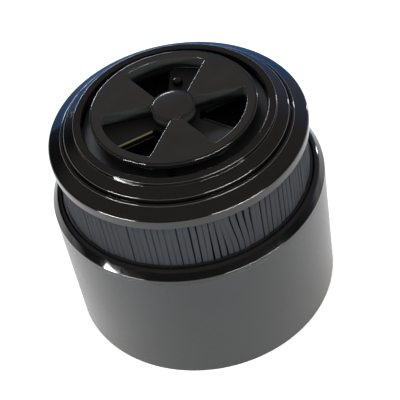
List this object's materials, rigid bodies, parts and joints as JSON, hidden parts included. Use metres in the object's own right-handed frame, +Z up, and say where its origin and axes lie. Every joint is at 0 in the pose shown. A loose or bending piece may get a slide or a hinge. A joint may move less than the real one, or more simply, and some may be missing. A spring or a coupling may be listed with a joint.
{
  "type": "canister filter",
  "caption": "Compact canister filter: a drum, a lift-out pleated cartridge and a stepped gloss cap with a turning three-window flow dial.",
  "frame": {"origin": "centre of the base, on the surface that the filter stands on", "axes": "+Z up along the drum's axis, -Y towards the front of the picture's view, +X to its right"},
  "size_m": [0.12, 0.12, 0.1051],
  "materials": {
    "satin_drum": "satin moulded ABS",
    "soft_black": "matt thermoplastic rubber",
    "gloss_black": "polished moulded ABS",
    "filter_paper": "folded spun polyester",
    "dull_black": "plain moulded polypropylene",
    "coarse_foam": "open-cell foam",
    "potting_resin": "cured resin",
    "plate_black": "fine-grained moulded ABS",
    "amber_seal": "clear yellow silicone",
    "screw_steel": "blackened stainless steel",
    "washer_white": "plain acetal"
  },
  "bodies": {
    "canister": {"drum": "satin_drum", "base_ring": "soft_black", "rim_ring": "gloss_black", "mouth_seal": "soft_black"},
    "cartridge": {"pleated_media": "filter_paper", "core_tube": "dull_black", "foam_block": "coarse_foam", "bottom_end_cap": "dull_black", "bottom_potting": "potting_resin", "top_potting": "potting_resin", "top_plate": "dull_black", "sealing_collar": "dull_black", "top_cap": "gloss_black", "cap_gasket": "soft_black", "port_plate": "plate_black", "port_seals": "amber_seal", "stop_stud": "gloss_black", "plate_screws": "screw_steel", "pivot_screw": "screw_steel", "thrust_washer": "washer_white"},
    "flow_dial": {"dial": "gloss_black", "hub_cap": "gloss_black"}
  },
  "joints": [
    {"name": "cartridge_lift", "type": "slide", "parent": "canister", "child": "cartridge", "axis": [0, 0, 1], "range_m": [0, 0.08]},
    {"name": "dial_turn", "type": "hinge", "parent": "cartridge", "child": "flow_dial", "pos_m": [0, 0, 0.1], "axis": [0, 0, 1], "range_deg": [-42, 19]}
  ]
}
